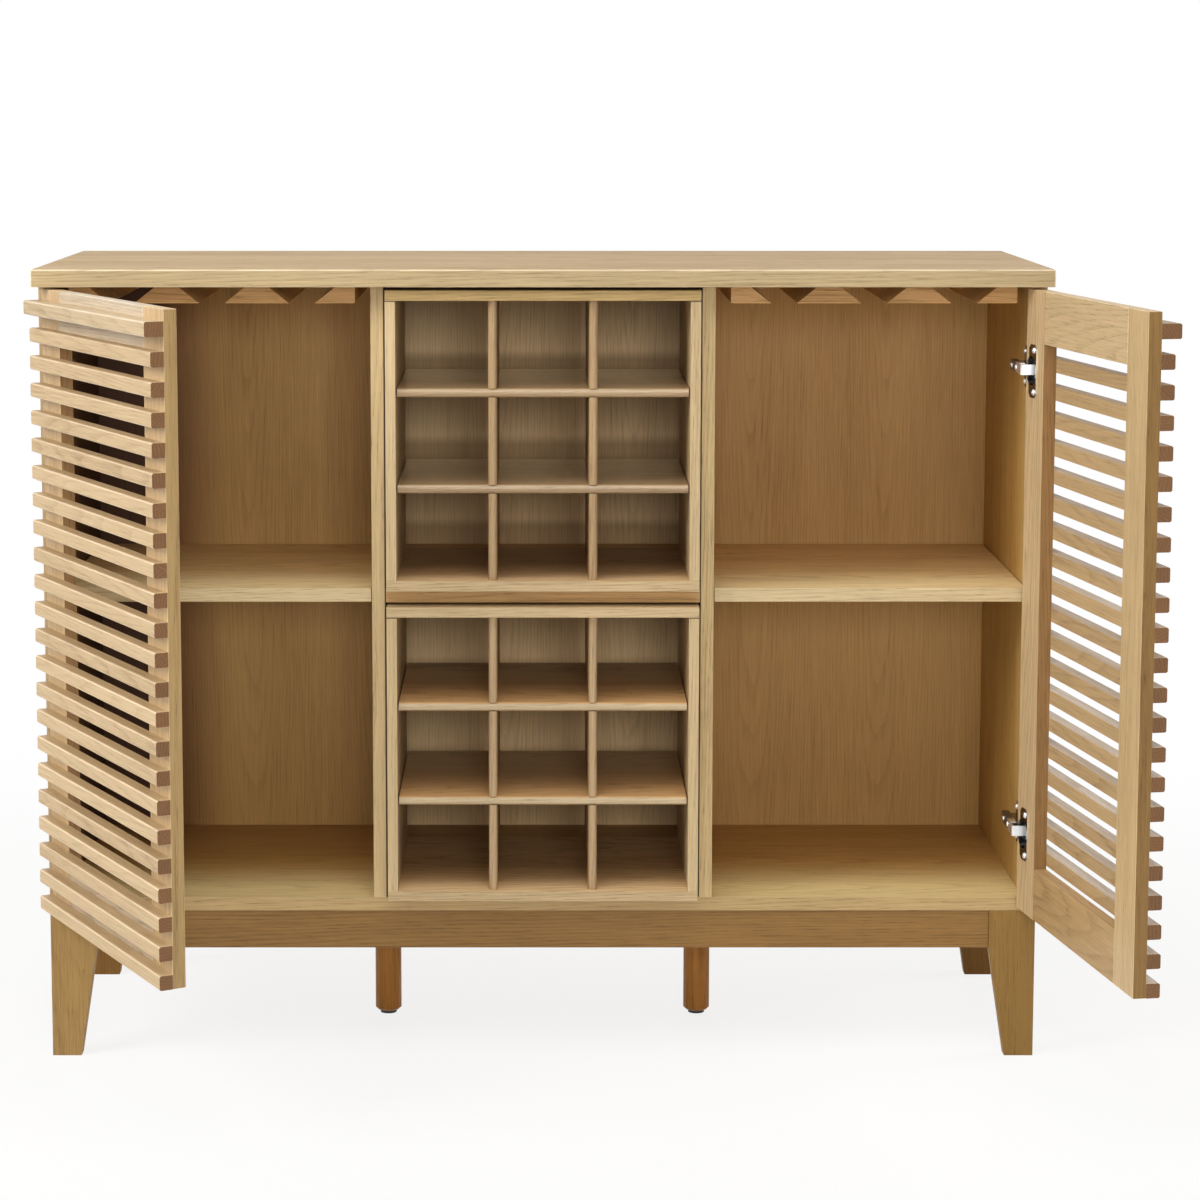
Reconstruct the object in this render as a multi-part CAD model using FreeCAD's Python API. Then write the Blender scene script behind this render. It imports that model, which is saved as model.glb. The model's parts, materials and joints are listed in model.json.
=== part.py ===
import FreeCAD, Part
import math
import os

from FreeCAD import Vector

# A bar cabinet with slatted doors, two loose wine racks and stemware rails.
# Lengths are in millimetres. X runs across, Y from front to back, Z up from the floor.
# While it is built, X = 0 is the middle and Y = 0 is the front edge of the top panel.

# Overall sizes
cabinet_width = 1168.0
cabinet_depth = 422.0
cabinet_height = 932.0

# Carcass panels
panel_thickness = 16.0
top_thickness = 20.0
top_side_overhang = 4.0
top_edge_ease = 1.5
back_thickness = 6.0
back_inset = 14.0
back_groove_depth = 6.0

# Tongues that join the panels, hidden behind the front edges
tongue_thickness = 6.0
tongue_depth = 6.0
tongue_stop = 25.0

# Shelves, just below the middle of the carcass
shelf_drop = 1.0
shelf_setback = 6.0
shelf_side_clearance = 1.0
shelf_back_clearance = 1.0
pin_diameter = 5.0
pin_embed = 8.0
pin_reach = 9.0
pin_end_distance = 55.0

# Base
leg_height = 176.0
leg_top_width = 54.0
leg_foot_width = 34.0
leg_thickness = 18.0
base_depth = 362.0
apron_height = 46.0
apron_thickness = 12.0
apron_recess = 4.0
apron_tenon_length = 10.0
apron_tenon_thickness = 5.0
apron_tenon_shoulder = 6.0
center_leg_diameter = 32.0
center_leg_chamfer = 3.0
spigot_diameter = 10.0
spigot_length = 8.0
glide_diameter = 20.0
glide_height = 4.0

# Stemware rails, dovetail in section and wide at the bottom
rail_height = 21.0
rail_bottom_width = 75.0
rail_top_width = 22.0
rail_slot = 28.6
half_rail_width = 47.0
rail_front_setback = 5.0
rail_back_setback = 10.0
rail_ease = 1.2

# Doors
door_gap = 3.0
door_thickness = 15.0
door_overlay = 10.0
door_top_gap = 3.0
door_bottom_gap = 6.0
frame_member_width = 60.0
door_tenon_length = 15.0
door_tenon_thickness = 5.0
door_tenon_shoulder = 8.0
slat_count = 23
slat_height = 16.0
slat_depth = 15.0
slat_ease = 1.4
slat_top_drop = 12.7
pull_slat_depth = 21.5

# How far each door stands open
left_door_angle = 62.2
right_door_angle = 99.8

# Concealed hinges
hinge_end_distance = 93.0
cup_radius = 17.5
cup_depth = 12.5
cup_wall = 0.8
cup_edge_distance = 3.0
flange_height = 61.0
flange_inner_reach = 16.5
flange_outer_reach = 8.5
flange_thickness = 1.2
flange_corner = 5.0
pivot_depth = 9.0
swing_clearance = 0.3
hinge_pin_radius = 1.2
hinge_pin_length = 20.4
hinge_pin_clearance = 0.05
eye_wall = 0.9
strap_height = 12.0
strap_thickness = 1.6
strap_set = 0.2
strap_reach = 18.0
arm_front_setback = 6.0
arm_length = 60.0
arm_cheek_height = 8.0
arm_cheek_thickness = 1.2
plate_height = 49.0
plate_width = 16.0
plate_thickness = 2.2
plate_corner = 6.0
plate_setback = 37.0
spine_length = 44.0

# Wine racks
rack_side_clearance = 1.4
rack_top_clearance = 2.5
rack_depth = 272.0
rack_proud = 20.0
rack_board = 12.0
rack_tongue_thickness = 4.0
rack_tongue_depth = 4.0
rack_tongue_stop = 15.0
rack_columns = 3
rack_rows = 3
grid_board = 10.0
grid_front_inset = 7.0
grid_back_inset = 6.0
grid_side_gap = 1.5
grid_nose_round = 4.0
lap_clearance = 0.1

# Places that follow from the sizes
body_half = cabinet_width / 2 - top_side_overhang
side_inner = body_half - panel_thickness
bay_width = (2 * body_half - 4 * panel_thickness) / 3
divider_inner = bay_width / 2
divider_outer = divider_inner + panel_thickness
side_bay_center = (divider_outer + side_inner) / 2
carcass_front = door_gap + door_thickness + slat_depth
back_front = cabinet_depth - back_inset - back_thickness
top_underside = cabinet_height - top_thickness
floor_top = leg_height + panel_thickness
shelf_underside = (floor_top + top_underside - panel_thickness) / 2 - shelf_drop
shelf_height = shelf_underside + panel_thickness
base_back = carcass_front + base_depth
apron_bottom = leg_height - apron_height

hinge_edge = -(side_inner + door_overlay)
door_width = bay_width + 2 * door_overlay
door_inner_face = carcass_front - door_gap
door_outer_face = door_inner_face - door_thickness
door_bottom = leg_height + door_bottom_gap
door_top = top_underside - door_top_gap
hinge_heights = (door_bottom + hinge_end_distance, door_top - hinge_end_distance)
# The door's back corner swings just clear of the carcass front.
pivot_swing = pivot_depth + door_gap - swing_clearance
pivot_inset = math.sqrt(pivot_swing ** 2 - pivot_depth ** 2)
pivot_x = hinge_edge + pivot_inset
pivot_y = door_inner_face - pivot_depth
cup_x = hinge_edge + cup_edge_distance + cup_radius

rack_width = bay_width - 2 * rack_side_clearance
rack_space = min(shelf_underside - floor_top, top_underside - shelf_height)
rack_height = rack_space - rack_top_clearance
rack_front = carcass_front - rack_proud
rack_back = rack_front + rack_depth
grid_front = rack_front + grid_front_inset
grid_back = rack_back - grid_back_inset
grid_middle = (grid_front + grid_back) / 2
cell_width = (rack_width - 2 * rack_board - (rack_columns - 1) * grid_board) / rack_columns
cell_height = (rack_height - 2 * rack_board - (rack_rows - 1) * grid_board) / rack_rows

UP = Vector(0, 0, 1)
ORIGIN = Vector(0, 0, 0)


def box(x, y, z):
    """A box between the low and high value in each of x, y and z."""
    return Part.makeBox(x[1] - x[0], y[1] - y[0], z[1] - z[0], Vector(x[0], y[0], z[0]))


def around(middle, width):
    """The low and high value of a width laid about its middle."""
    return (middle - width / 2, middle + width / 2)


def prism(points, along):
    """A closed outline pushed along a vector."""
    wire = Part.makePolygon(points + points[:1])
    return Part.Face(wire).extrude(along)


def joined(shapes):
    """Solids fused into one, with their shared flat faces merged."""
    return shapes[0].fuse(shapes[1:]).removeSplitter()


def without(shape, tools):
    """A solid with the tools cut out of it."""
    return shape.cut(tools).removeSplitter()


def rounded(shape, radius, chosen):
    """A solid with a fillet on each edge that the test picks."""
    return shape.makeFillet(radius, [edge for edge in shape.Edges if chosen(edge)])


def eased(shape, size, chosen):
    """A solid with a chamfer on each edge that the test picks."""
    return shape.makeChamfer(size, [edge for edge in shape.Edges if chosen(edge)])


def runs_along(edge, axis):
    """Whether a straight edge lies along an axis."""
    start, end = edge.Vertexes[0].Point, edge.Vertexes[-1].Point
    span = end - start
    return abs(abs(span.dot(axis)) - span.Length) < 1e-6 and span.Length > 1e-6


def near(value, target):
    return abs(value - target) < 1e-4


def mirrored(shape):
    """The same piece on the other side of the cabinet."""
    return shape.mirror(ORIGIN, Vector(1, 0, 0))


def group(shapes):
    return Part.makeCompound(shapes)


nodes = {}

# Back panel, which sits in grooves all round
back_panel = box(
    (-side_inner - back_groove_depth, side_inner + back_groove_depth),
    (back_front, back_front + back_thickness),
    (floor_top - back_groove_depth, top_underside + back_groove_depth),
)
nodes["back_panel"] = back_panel

# Upright panels with a tongue at the top, and on the dividers at the bottom too
tongue_y = (carcass_front + tongue_stop, back_front - tongue_stop)


def upright_tongue(x_middle, z):
    return box(around(x_middle, tongue_thickness), tongue_y, z)


top_tongue_z = (top_underside, top_underside + tongue_depth)
floor_tongue_z = (floor_top - tongue_depth, floor_top)
side_middle = body_half - panel_thickness / 2
divider_middle = divider_inner + panel_thickness / 2

top_tongues = [upright_tongue(x, top_tongue_z)
               for x in (-side_middle, -divider_middle, divider_middle, side_middle)]
floor_tongues = [upright_tongue(x, floor_tongue_z) for x in (-divider_middle, divider_middle)]

bottom_tongue_z = around(leg_height + panel_thickness / 2, tongue_thickness)
bottom_tongue = box((side_inner, side_inner + tongue_depth), tongue_y, bottom_tongue_z)
shelf_tongue_z = around(shelf_height - panel_thickness / 2, tongue_thickness)
shelf_tongue = box((divider_inner, divider_inner + tongue_depth), tongue_y, shelf_tongue_z)

# Shelf pins stand in the side panels and dividers, under each side shelf
pin_z = shelf_underside - pin_diameter / 2
pin_ys = (carcass_front + pin_end_distance, back_front - pin_end_distance)


def shelf_pin(face_x, outward, y):
    """A pin in a face at face_x that reaches out of it towards +X or -X."""
    start = Vector(face_x - outward * pin_embed, y, pin_z)
    return Part.makeCylinder(pin_diameter / 2, pin_embed + pin_reach, start, Vector(outward, 0, 0))


right_bay_pins = [shelf_pin(face, outward, y)
                  for face, outward in ((divider_outer, 1), (side_inner, -1))
                  for y in pin_ys]
left_bay_pins = [mirrored(pin) for pin in right_bay_pins]
nodes["shelf_pins"] = group(left_bay_pins + right_bay_pins)

side_panel = box((side_inner, body_half), (carcass_front, cabinet_depth), (leg_height, top_underside))
side_panel = joined([side_panel, top_tongues[3]])
side_panel = without(side_panel, [back_panel, bottom_tongue] + right_bay_pins)
nodes["right_side_panel"] = side_panel
nodes["left_side_panel"] = mirrored(side_panel)

divider = box((divider_inner, divider_outer), (carcass_front, back_front), (floor_top, top_underside))
divider = joined([divider, top_tongues[2], floor_tongues[1]])
divider = without(divider, [shelf_tongue] + right_bay_pins)
nodes["right_divider"] = divider
nodes["left_divider"] = mirrored(divider)

# Top panel, eased along its upper edges and front corners
top_panel = box(
    (-cabinet_width / 2, cabinet_width / 2),
    (0, cabinet_depth),
    (top_underside, cabinet_height),
)


def is_top_edge(edge):
    center = edge.CenterOfMass
    if near(center.z, cabinet_height):
        return True
    return runs_along(edge, UP) and near(center.y, 0)


top_panel = eased(top_panel, top_edge_ease, is_top_edge)
nodes["top_panel"] = without(top_panel, [back_panel] + top_tongues)

# Round centre legs have a spigot in the bottom panel
center_leg_y = carcass_front + base_depth / 2


def center_leg(x):
    foot = Vector(x, center_leg_y, glide_height)
    post = Part.makeCylinder(center_leg_diameter / 2, leg_height - glide_height, foot)
    post = eased(post, center_leg_chamfer, lambda edge: near(edge.CenterOfMass.z, glide_height))
    return joined([post, leg_spigot(x)])


def leg_spigot(x):
    return Part.makeCylinder(spigot_diameter / 2, spigot_length, Vector(x, center_leg_y, leg_height))


def glide(x):
    return Part.makeCylinder(glide_diameter / 2, glide_height, Vector(x, center_leg_y, 0))


nodes["left_center_leg"] = center_leg(-divider_middle)
nodes["right_center_leg"] = center_leg(divider_middle)
nodes["center_leg_glides"] = group([glide(-divider_middle), glide(divider_middle)])

bottom_panel = box((-side_inner, side_inner), (carcass_front, cabinet_depth), (leg_height, floor_top))
bottom_panel = joined([bottom_panel, bottom_tongue, mirrored(bottom_tongue)])
spigots = [leg_spigot(-divider_middle), leg_spigot(divider_middle)]
nodes["bottom_panel"] = without(bottom_panel, [back_panel] + floor_tongues + spigots)

# Shelves
center_shelf = box((-divider_inner, divider_inner), (carcass_front, back_front),
                   (shelf_underside, shelf_height))
nodes["center_shelf"] = joined([center_shelf, shelf_tongue, mirrored(shelf_tongue)])
side_shelf = box(
    (divider_outer + shelf_side_clearance, side_inner - shelf_side_clearance),
    (carcass_front + shelf_setback, back_front - shelf_back_clearance),
    (shelf_underside, shelf_height),
)
nodes["right_shelf"] = side_shelf
nodes["left_shelf"] = mirrored(side_shelf)

# Legs: upright through the apron, then tapered on the inside down to the foot
leg_outline = [
    Vector(body_half, 0, 0),
    Vector(body_half, 0, leg_height),
    Vector(body_half - leg_top_width, 0, leg_height),
    Vector(body_half - leg_top_width, 0, apron_bottom),
    Vector(body_half - leg_foot_width, 0, 0),
]
leg = prism(leg_outline, Vector(0, leg_thickness, 0))
front_leg = leg.translated(Vector(0, carcass_front, 0))
rear_leg = leg.translated(Vector(0, base_back - leg_thickness, 0))

# Aprons with a tenon at each end
leg_inner = body_half - leg_top_width
tenon_z = (apron_bottom + apron_tenon_shoulder, leg_height - apron_tenon_shoulder)
front_apron_y = (carcass_front + apron_recess, carcass_front + apron_recess + apron_thickness)
rear_apron_y = (base_back - apron_recess - apron_thickness, base_back - apron_recess)
side_apron_x = (body_half - apron_recess - apron_thickness, body_half - apron_recess)
side_apron_y = (carcass_front + leg_thickness, base_back - leg_thickness)


def cross_apron(y):
    """An apron between two legs, and the tenons at its ends."""
    board = box((-leg_inner, leg_inner), y, (apron_bottom, leg_height))
    tenon_y = around(sum(y) / 2, apron_tenon_thickness)
    tenon = box((leg_inner, leg_inner + apron_tenon_length), tenon_y, tenon_z)
    return joined([board, tenon, mirrored(tenon)]), tenon


front_apron, front_tenon = cross_apron(front_apron_y)
rear_apron, rear_tenon = cross_apron(rear_apron_y)
nodes["front_apron"] = front_apron
nodes["rear_apron"] = rear_apron

side_apron = box(side_apron_x, side_apron_y, (apron_bottom, leg_height))
side_tenon_x = around(sum(side_apron_x) / 2, apron_tenon_thickness)
side_tenons = [
    box(side_tenon_x, (side_apron_y[0] - apron_tenon_length, side_apron_y[0]), tenon_z),
    box(side_tenon_x, (side_apron_y[1], side_apron_y[1] + apron_tenon_length), tenon_z),
]
side_apron = joined([side_apron] + side_tenons)
nodes["right_apron"] = side_apron
nodes["left_apron"] = mirrored(side_apron)

front_leg = without(front_leg, [front_tenon, side_tenons[0]])
rear_leg = without(rear_leg, [rear_tenon, side_tenons[1]])
nodes["front_right_leg"] = front_leg
nodes["front_left_leg"] = mirrored(front_leg)
nodes["rear_right_leg"] = rear_leg
nodes["rear_left_leg"] = mirrored(rear_leg)

# Stemware rails: two whole and two half dovetails, with a slot for the stems between them
rail_y = (carcass_front + rail_front_setback, back_front - rail_back_setback)
rail_bottom = top_underside - rail_height
rail_flare = (rail_bottom_width - rail_top_width) / 2
rail_pitch = rail_bottom_width + rail_slot
half_rail_inner = rail_pitch + rail_slot / 2


def rail(bottom, top):
    """A rail whose section spans the bottom and top pairs of X values."""
    outline = [
        Vector(bottom[0], rail_y[0], rail_bottom),
        Vector(bottom[1], rail_y[0], rail_bottom),
        Vector(top[1], rail_y[0], top_underside),
        Vector(top[0], rail_y[0], top_underside),
    ]
    bar = prism(outline, Vector(0, rail_y[1] - rail_y[0], 0))
    return eased(bar, rail_ease, lambda edge: near(edge.CenterOfMass.z, rail_bottom)
                 and edge.CenterOfMass.y < rail_y[1] - rail_ease)


whole_rails = [rail(around(middle, rail_bottom_width), around(middle, rail_top_width))
               for middle in (-rail_pitch / 2, rail_pitch / 2)]
half_rail = rail((half_rail_inner, half_rail_inner + half_rail_width),
                 (half_rail_inner + rail_flare, half_rail_inner + half_rail_width))
rail_set = group(whole_rails + [half_rail, mirrored(half_rail)])
nodes["right_stemware_rails"] = rail_set.translated(Vector(side_bay_center, 0, 0))
nodes["left_stemware_rails"] = rail_set.translated(Vector(-side_bay_center, 0, 0))

# Left door, drawn shut. Its frame is two stiles with two rails tenoned between them.
free_edge = hinge_edge + door_width
frame_y = (door_outer_face, door_inner_face)
hinge_stile_x = (hinge_edge, hinge_edge + frame_member_width)
free_stile_x = (free_edge - frame_member_width, free_edge)
rail_x = (hinge_stile_x[1], free_stile_x[0])
door_tenon_y = around(sum(frame_y) / 2, door_tenon_thickness)


def door_rail(z):
    """A door rail, and the two tenons on its ends."""
    tenon_z = (z[0] + door_tenon_shoulder, z[1] - door_tenon_shoulder)
    tenons = [
        box((rail_x[0] - door_tenon_length, rail_x[0]), door_tenon_y, tenon_z),
        box((rail_x[1], rail_x[1] + door_tenon_length), door_tenon_y, tenon_z),
    ]
    return joined([box(rail_x, frame_y, z)] + tenons), tenons


def slat(z_low, depth):
    """A slat across the outer face of the door, eased along its front edges."""
    front = door_outer_face - depth
    bar = box((hinge_edge, free_edge), (front, door_outer_face), (z_low, z_low + slat_height))
    return eased(bar, slat_ease, lambda edge: near(edge.CenterOfMass.y, front)
                 and runs_along(edge, Vector(1, 0, 0)))


# Hinge: a cup let into the stile carries a pin, and the arm on the side panel turns on it
eye_radius = hinge_pin_radius + hinge_pin_clearance + eye_wall
strap_y = (pivot_y - strap_set - strap_thickness, pivot_y - strap_set)
arm_x = (pivot_x + strap_reach - strap_thickness, pivot_x + strap_reach)
arm_back = carcass_front + arm_front_setback + arm_length
plate_y = carcass_front + plate_setback


def hinge_pin(z):
    foot = Vector(pivot_x, pivot_y, z - hinge_pin_length / 2)
    return Part.makeCylinder(hinge_pin_radius, hinge_pin_length, foot)


def cup_bore(z):
    mouth = Vector(cup_x, door_inner_face, z)
    return Part.makeCylinder(cup_radius, cup_depth, mouth, Vector(0, -1, 0))


def hinge_cup(z):
    """A drawn cup with a flange on the inner face of the door."""
    flange_y = (door_inner_face, door_inner_face + flange_thickness)
    flange_x = (cup_x - flange_outer_reach, cup_x + flange_inner_reach)
    flange = box(flange_x, flange_y, around(z, flange_height))
    flange = eased(flange, flange_corner, lambda edge: runs_along(edge, Vector(0, 1, 0)))
    rim = Part.makeCylinder(cup_radius, flange_thickness, Vector(cup_x, door_inner_face, z), Vector(0, 1, 0))
    mouth = Vector(cup_x, flange_y[1], z)
    hollow = Part.makeCylinder(cup_radius - cup_wall, flange_thickness + cup_depth - cup_wall,
                               mouth, Vector(0, -1, 0))
    return without(joined([cup_bore(z), rim, flange]), [hollow, hinge_pin(z)])


def hinge_arm(z):
    """A channel on the mounting plate, cranked forward into the cup and ending in an eye."""
    half = strap_height / 2
    strap_z = (z - half, z + half)
    eye = Part.makeCylinder(eye_radius, strap_height, Vector(pivot_x, pivot_y, z - half))
    reach = box((pivot_x, arm_x[1]), strap_y, strap_z)
    web = box(arm_x, (strap_y[0], arm_back), strap_z)
    bend = joined([reach, web])
    bend = eased(bend, strap_thickness, lambda edge: runs_along(edge, UP)
                 and near(edge.CenterOfMass.x, arm_x[1])
                 and near(edge.CenterOfMass.y, strap_y[0]))
    cheek_x = (arm_x[1] - arm_cheek_height, arm_x[1])
    cheek_y = (carcass_front + arm_front_setback, arm_back)
    cheeks = [
        box(cheek_x, cheek_y, (strap_z[0], strap_z[0] + arm_cheek_thickness)),
        box(cheek_x, cheek_y, (strap_z[1] - arm_cheek_thickness, strap_z[1])),
    ]
    hole = Part.makeCylinder(hinge_pin_radius + hinge_pin_clearance, strap_height,
                             Vector(pivot_x, pivot_y, z - half))
    return without(joined([bend, eye] + cheeks), [hole])


def hinge_plate(z):
    """A mounting plate with two wings and a spine that the arm sits on."""
    wings = box((-side_inner, -side_inner + plate_thickness), around(plate_y, plate_width),
                around(z, plate_height))
    wings = eased(wings, plate_corner, lambda edge: runs_along(edge, Vector(1, 0, 0)))
    spine = box((-side_inner, arm_x[0]), around(plate_y, spine_length),
                around(z, strap_height - 2 * arm_cheek_thickness))
    return joined([wings, spine])


def build_door():
    """Each piece of the left door in its shut place."""
    top_rail, top_tenons = door_rail((door_top - frame_member_width, door_top))
    bottom_rail, bottom_tenons = door_rail((door_bottom, door_bottom + frame_member_width))
    bores = [cup_bore(z) for z in hinge_heights]
    pins = [hinge_pin(z) for z in hinge_heights]
    stile_z = (door_bottom, door_top)
    hinge_stile = without(box(hinge_stile_x, frame_y, stile_z),
                          [top_tenons[0], bottom_tenons[0]] + bores)
    free_stile = without(box(free_stile_x, frame_y, stile_z), [top_tenons[1], bottom_tenons[1]])
    pull_low = door_top - slat_top_drop - slat_height
    pitch = (pull_low - door_bottom) / (slat_count - 1)
    slats = [slat(door_bottom + index * pitch, slat_depth) for index in range(slat_count - 1)]
    return {
        "hinge_stile": hinge_stile,
        "free_stile": free_stile,
        "top_rail": top_rail,
        "bottom_rail": bottom_rail,
        "slats": group(slats),
        "pull_slat": slat(pull_low, pull_slat_depth),
        "hinge_cups": group([hinge_cup(z) for z in hinge_heights]),
        "hinge_pins": group(pins),
    }


left_pivot = Vector(pivot_x, pivot_y, 0)
right_pivot = Vector(-pivot_x, pivot_y, 0)
for piece, shape in build_door().items():
    nodes["left_door_" + piece] = shape.rotated(left_pivot, UP, -left_door_angle)
    nodes["right_door_" + piece] = mirrored(shape).rotated(right_pivot, UP, right_door_angle)

arms = group([hinge_arm(z) for z in hinge_heights])
plates = group([hinge_plate(z) for z in hinge_heights])
nodes["left_hinge_arms"] = arms
nodes["right_hinge_arms"] = mirrored(arms)
nodes["left_hinge_plates"] = plates
nodes["right_hinge_plates"] = mirrored(plates)


# Wine racks: a crate of four boards with shelves and dividers lapped into each other
rack_half = rack_width / 2
rack_side_x = (rack_half - rack_board, rack_half)
rack_y = (rack_front, rack_back)
rack_inner_z = (rack_board, rack_height - rack_board)
grid_half = rack_half - rack_board - grid_side_gap


def centers(count, cell, start):
    """The middles of the boards between a row of cells."""
    return [start + (index + 1) * cell + (index + 0.5) * grid_board for index in range(count - 1)]


divider_xs = centers(rack_columns, cell_width, rack_board - rack_half)
rack_shelf_zs = centers(rack_rows, cell_height, rack_board)


def rack_shelf(z):
    """A shelf with a rounded nose, slotted from the back for each divider."""
    board = box((-grid_half, grid_half), (grid_front, grid_back), around(z, grid_board))
    board = rounded(board, grid_nose_round, lambda edge: near(edge.CenterOfMass.y, grid_front)
                    and runs_along(edge, Vector(1, 0, 0)))
    slots = [box(around(x, grid_board + 2 * lap_clearance), (grid_middle, grid_back), around(z, grid_board))
             for x in divider_xs]
    return without(board, slots)


def divider_tongues(x):
    """The ends of a divider that sit in the top and bottom boards."""
    y = (grid_front + rack_tongue_stop, grid_back - rack_tongue_stop)
    width = around(x, rack_tongue_thickness)
    return [
        box(width, y, (rack_inner_z[0] - rack_tongue_depth, rack_inner_z[0])),
        box(width, y, (rack_inner_z[1], rack_inner_z[1] + rack_tongue_depth)),
    ]


def rack_divider(x):
    """An upright with a rounded nose, slotted from the front for each shelf."""
    board = box(around(x, grid_board), (grid_front, grid_back), rack_inner_z)
    board = rounded(board, grid_nose_round, lambda edge: near(edge.CenterOfMass.y, grid_front)
                    and runs_along(edge, UP))
    board = joined([board] + divider_tongues(x))
    slots = [box(around(x, grid_board), (grid_front, grid_middle), around(z, grid_board + 2 * lap_clearance))
             for z in rack_shelf_zs]
    return without(board, slots)


def build_rack():
    """Each piece of a rack that stands at Z = 0."""
    side_tongue_y = (rack_front + rack_tongue_stop, rack_back - rack_tongue_stop)
    side_tongue_x = around(sum(rack_side_x) / 2, rack_tongue_thickness)
    side_tongues = [
        box(side_tongue_x, side_tongue_y, (rack_inner_z[0] - rack_tongue_depth, rack_inner_z[0])),
        box(side_tongue_x, side_tongue_y, (rack_inner_z[1], rack_inner_z[1] + rack_tongue_depth)),
    ]
    right_side = joined([box(rack_side_x, rack_y, rack_inner_z)] + side_tongues)
    tongues = side_tongues + [mirrored(tongue) for tongue in side_tongues]
    for x in divider_xs:
        tongues += divider_tongues(x)
    board_x = (-rack_half, rack_half)
    return {
        "top": without(box(board_x, rack_y, (rack_inner_z[1], rack_height)), tongues),
        "bottom": without(box(board_x, rack_y, (0, rack_board)), tongues),
        "right_side": right_side,
        "left_side": mirrored(right_side),
        "shelves": group([rack_shelf(z) for z in rack_shelf_zs]),
        "dividers": group([rack_divider(x) for x in divider_xs]),
    }


for piece, shape in build_rack().items():
    nodes["lower_rack_" + piece] = shape.translated(Vector(0, 0, floor_top))
    nodes["upper_rack_" + piece] = shape.translated(Vector(0, 0, shelf_height))

# The finished part stands with its origin under the middle of its outer box
whole_box = group(list(nodes.values())).optimalBoundingBox(False, False)
origin_shift = Vector(-(whole_box.XMin + whole_box.XMax) / 2, -(whole_box.YMin + whole_box.YMax) / 2, 0)
for name in nodes:
    nodes[name] = nodes[name].translated(origin_shift)


os.makedirs("parts", exist_ok=True)
for name, shape in nodes.items():
    shape.exportStep(os.path.join("parts", name + ".step"))
print(len(nodes), "pieces, outer box", whole_box)
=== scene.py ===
import json
import math

import bmesh
import bpy
from mathutils import Matrix, Vector


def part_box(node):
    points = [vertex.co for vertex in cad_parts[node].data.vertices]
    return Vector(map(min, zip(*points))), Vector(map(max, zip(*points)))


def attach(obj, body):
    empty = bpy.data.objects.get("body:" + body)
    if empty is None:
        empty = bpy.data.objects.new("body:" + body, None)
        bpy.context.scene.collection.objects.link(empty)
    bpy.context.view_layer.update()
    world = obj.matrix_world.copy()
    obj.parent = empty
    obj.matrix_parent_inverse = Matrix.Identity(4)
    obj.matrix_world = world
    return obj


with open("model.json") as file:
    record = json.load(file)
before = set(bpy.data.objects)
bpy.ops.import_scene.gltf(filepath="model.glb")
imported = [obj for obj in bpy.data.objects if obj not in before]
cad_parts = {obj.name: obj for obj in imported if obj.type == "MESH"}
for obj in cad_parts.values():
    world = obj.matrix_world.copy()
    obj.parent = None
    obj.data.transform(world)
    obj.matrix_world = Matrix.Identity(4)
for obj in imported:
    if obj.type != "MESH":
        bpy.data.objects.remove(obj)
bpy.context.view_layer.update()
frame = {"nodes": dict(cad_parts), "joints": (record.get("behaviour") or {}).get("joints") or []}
nodes = frame["nodes"]
joints = {joint["name"]: joint for joint in frame["joints"]}
scene = bpy.context.scene

# Lengths are in metres, angles in radians, and colours are linear
MM = 0.001
UP, DOWN, FRONT, REAR = (0, 0, 1), (0, 0, -1), (0, -1, 0), (0, 1, 0)
LEFT, RIGHT = (-1, 0, 0), (1, 0, 0)
WHITE = (1, 1, 1, 1)

# Sizes repeated from the cabinet
LEFT_DOOR_ANGLE = math.radians(-62.2)
RIGHT_DOOR_ANGLE = math.radians(99.8)
RAIL_PITCH = 103.6 * MM
SLAT_PITCH = 31.741 * MM
SHELF_PITCH = 111.5 * MM
DIVIDER_PITCH = 116.178 * MM
HINGE_HEIGHTS = (275 * MM, 816 * MM)
PIVOT_TO_INNER_FACE = 9 * MM
PIVOT_TO_CUP = 13.02 * MM
FLANGE = 1.2 * MM
PLATE_WING = 2.2 * MM

# Rounding of the edges, and the folds that are rounded, shaded sharp or taken as flat
EASE = 0.6 * MM
DOOR_EASE = 0.9 * MM
RAIL_EASE = 1.2 * MM
EASED_FOLD = math.radians(40)
SHARP_FOLD = math.radians(30)
FLAT_FOLD = math.radians(0.5)
WELD_REACH = 0.005 * MM

# Hinge screws: radius and height of each head, and where the screws sit
CUP_SCREW = (3.6 * MM, 2.2 * MM)
PLATE_SCREW = (3.4 * MM, 1.8 * MM)
ARM_SCREW = (3.2 * MM, 1.4 * MM)
CUP_SCREW_SPREAD = 24 * MM
CUP_SCREW_OFFSET = 9.5 * MM
PLATE_SCREW_SPREAD = 17.5 * MM
ARM_SCREW_SETBACKS = (14 * MM, 44 * MM)
# Dome of a head as shares of radius and height, and the cross recess in it
HEAD_SIDES = 28
HEAD_RINGS = ((1.0, 0.0), (1.0, 0.30), (0.93, 0.62), (0.78, 0.86), (0.60, 1.0))
CROSS_ARM = 0.46
CROSS_HALF_WIDTH = 0.11
RECESS_TAPER = 0.8
RECESS_FLOOR = 0.25

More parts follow.
